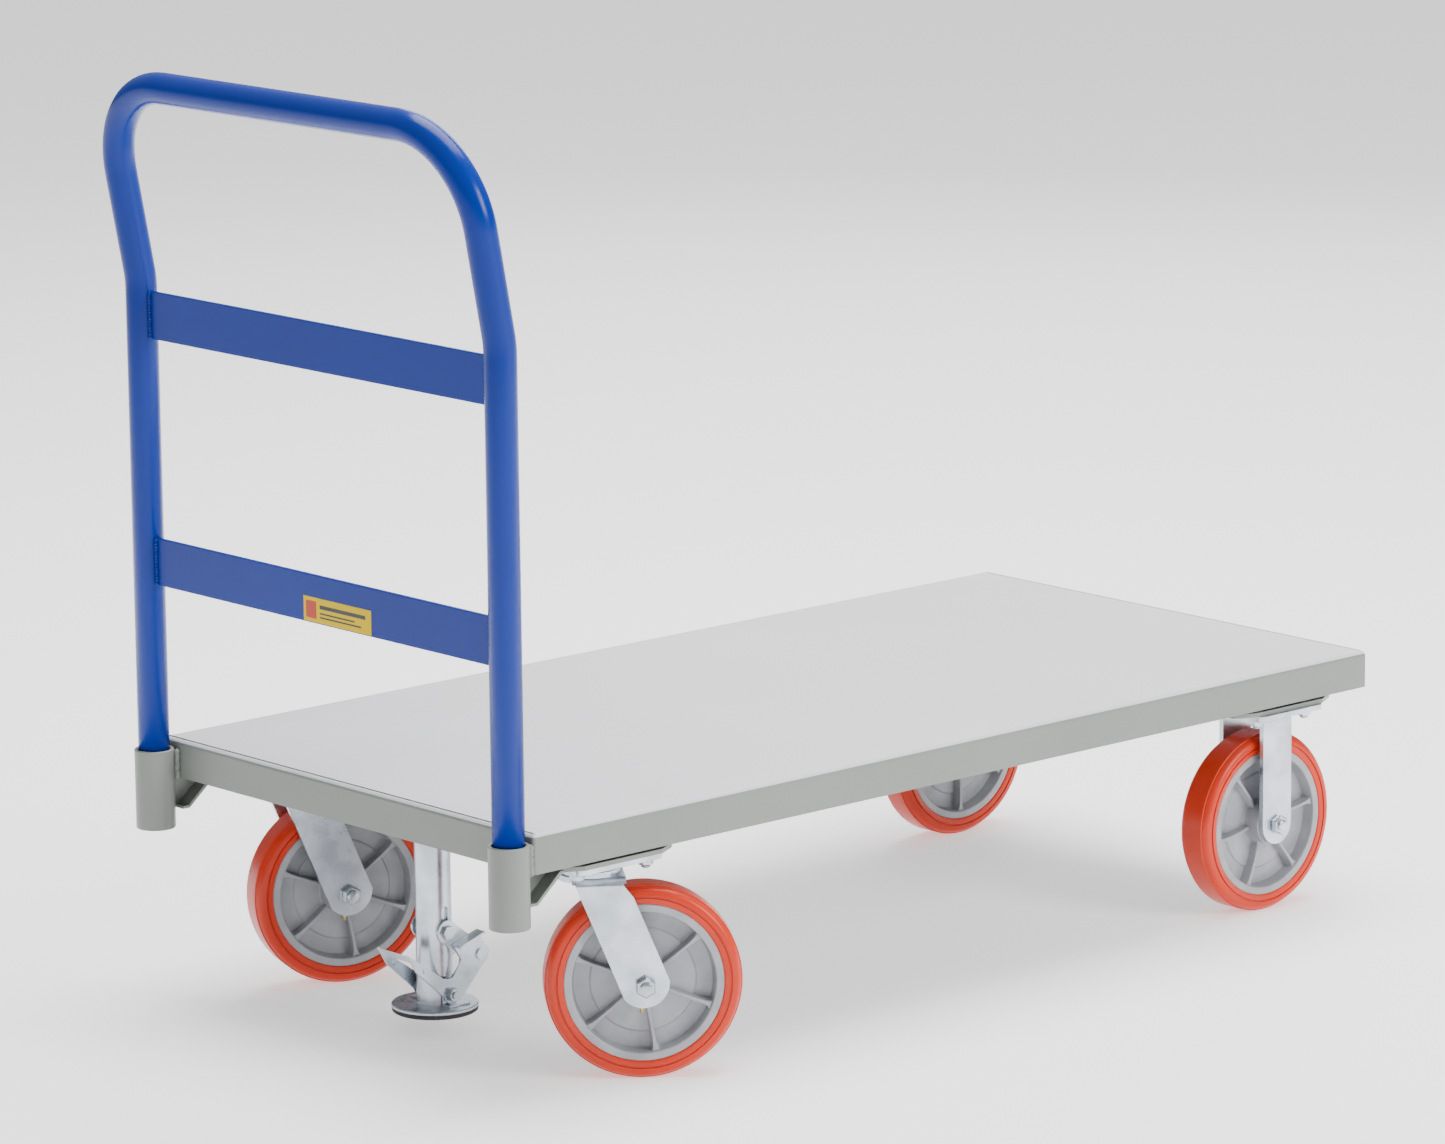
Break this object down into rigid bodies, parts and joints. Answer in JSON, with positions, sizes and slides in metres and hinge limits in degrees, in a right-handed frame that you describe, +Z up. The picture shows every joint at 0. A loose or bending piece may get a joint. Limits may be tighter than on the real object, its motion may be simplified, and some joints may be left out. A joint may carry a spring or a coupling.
{
  "type": "platform truck",
  "caption": "Flatbed platform truck with a steel deck, a lift-out tube push handle, two swivel and two rigid casters and a foot-operated floor lock.",
  "frame": {"origin": "on the floor, under the middle of the deck", "axes": "+X along the deck away from the handle, +Y across the deck, +Z up"},
  "size_m": [1.2979, 0.6617, 1.0105],
  "materials": {
    "gray_paint": "satin gray-green enamel",
    "deck_top": "smooth light gray enamel",
    "blue_paint": "gloss blue enamel",
    "label": "yellow printed film",
    "zinc": "bright zinc plate",
    "steel": "ground bearing steel",
    "tread": "orange-red moulded tread",
    "core": "as-cast gray",
    "brass": "plain",
    "rubber": "matte black",
    "spring": "drawn wire"
  },
  "bodies": {
    "truck": {"deck_pan": "deck_top", "deck_stiffeners": "gray_paint", "swivel_bolster": "gray_paint", "rigid_bolster": "gray_paint", "handle_sockets": "gray_paint", "socket_gussets": "gray_paint", "socket_welds": "gray_paint", "swivel_plates": "zinc", "swivel_balls": "steel", "king_pins": "zinc", "king_nuts": "zinc", "rigid_fork_right": "zinc", "rigid_fork_left": "zinc", "rigid_axles": "zinc", "rigid_axle_sleeves": "steel", "mounting_bolts": "zinc", "mounting_nuts": "zinc", "lock_plate_top": "zinc", "lock_post": "zinc", "lock_studs": "zinc", "lock_spring": "spring", "lock_spring_pin": "zinc"},
    "handle": {"handle_tube": "blue_paint", "upper_crossbar": "blue_paint", "lower_crossbar": "blue_paint", "crossbar_welds": "blue_paint", "handle_label": "label"},
    "right_swivel": {"swivel_fork_right": "zinc", "swivel_axle_right": "zinc", "axle_sleeve_right": "steel"},
    "left_swivel": {"swivel_fork_left": "zinc", "swivel_axle_left": "zinc", "axle_sleeve_left": "steel"},
    "wheel_swivel_right": {"tread_swivel_right": "tread", "core_swivel_right": "core", "bearing_swivel_right": "steel", "fitting_swivel_right": "brass"},
    "wheel_swivel_left": {"tread_swivel_left": "tread", "core_swivel_left": "core", "bearing_swivel_left": "steel", "fitting_swivel_left": "brass"},
    "wheel_rigid_right": {"tread_rigid_right": "tread", "core_rigid_right": "core", "bearing_rigid_right": "steel", "fitting_rigid_right": "brass"},
    "wheel_rigid_left": {"tread_rigid_left": "tread", "core_rigid_left": "core", "bearing_rigid_left": "steel", "fitting_rigid_left": "brass"},
    "lock_foot": {"lock_sleeve": "zinc", "lock_foot": "zinc", "lock_pad": "rubber", "lock_lugs": "zinc", "lock_pivots": "zinc", "lock_pivot_nuts": "zinc"},
    "lock_pedal": {"lock_pedal": "zinc", "lock_rivets": "zinc"},
    "lock_link": {"lock_link": "zinc"}
  },
  "joints": [
    {"name": "handle_lift", "type": "slide", "parent": "truck", "child": "handle", "axis": [0, 0, 1], "range_m": [0, 0.085]},
    {"name": "right_swivel", "type": "hinge", "parent": "truck", "child": "right_swivel", "pos_m": [-0.4846, -0.2448, 0.21495], "axis": [0, 0, 1], "continuous": true},
    {"name": "left_swivel", "type": "hinge", "parent": "truck", "child": "left_swivel", "pos_m": [-0.4846, 0.2448, 0.21495], "axis": [0, 0, 1], "continuous": true},
    {"name": "swivel_right_roll", "type": "hinge", "parent": "right_swivel", "child": "wheel_swivel_right", "pos_m": [-0.44237, -0.27548, 0.1016], "axis": [-0.5878, -0.809, 0], "continuous": true},
    {"name": "swivel_left_roll", "type": "hinge", "parent": "left_swivel", "child": "wheel_swivel_left", "pos_m": [-0.43524, 0.22781, 0.1016], "axis": [-0.3256, -0.9455, 0], "continuous": true},
    {"name": "rigid_right_roll", "type": "hinge", "parent": "truck", "child": "wheel_rigid_right", "pos_m": [0.4935, -0.2448, 0.1016], "axis": [0, -1, 0], "continuous": true},
    {"name": "rigid_left_roll", "type": "hinge", "parent": "truck", "child": "wheel_rigid_left", "pos_m": [0.4935, 0.2448, 0.1016], "axis": [0, -1, 0], "continuous": true},
    {"name": "lock_drop", "type": "slide", "parent": "truck", "child": "lock_foot", "axis": [0, 0, -1], "range_m": [0, 0.0225], "stiffness_N_per_m": 600, "springref_m": -0.03, "deforming": ["lock_spring"]},
    {"name": "lock_pedal_turn", "type": "hinge", "parent": "lock_foot", "child": "lock_pedal", "pos_m": [-0.4896, 0, 0.0435], "axis": [0, -1, 0], "range_deg": [0, 16.5]},
    {"name": "lock_link_turn", "type": "hinge", "parent": "truck", "child": "lock_link", "pos_m": [-0.4916, 0, 0.11], "axis": [0, -1, 0], "range_deg": [-19.1, 0]}
  ],
  "couplings": [
    {"joint": "lock_pedal_turn", "follows": "lock_drop", "rad_per_m": 12.756},
    {"joint": "lock_link_turn", "follows": "lock_drop", "rad_per_m": -14.729}
  ]
}
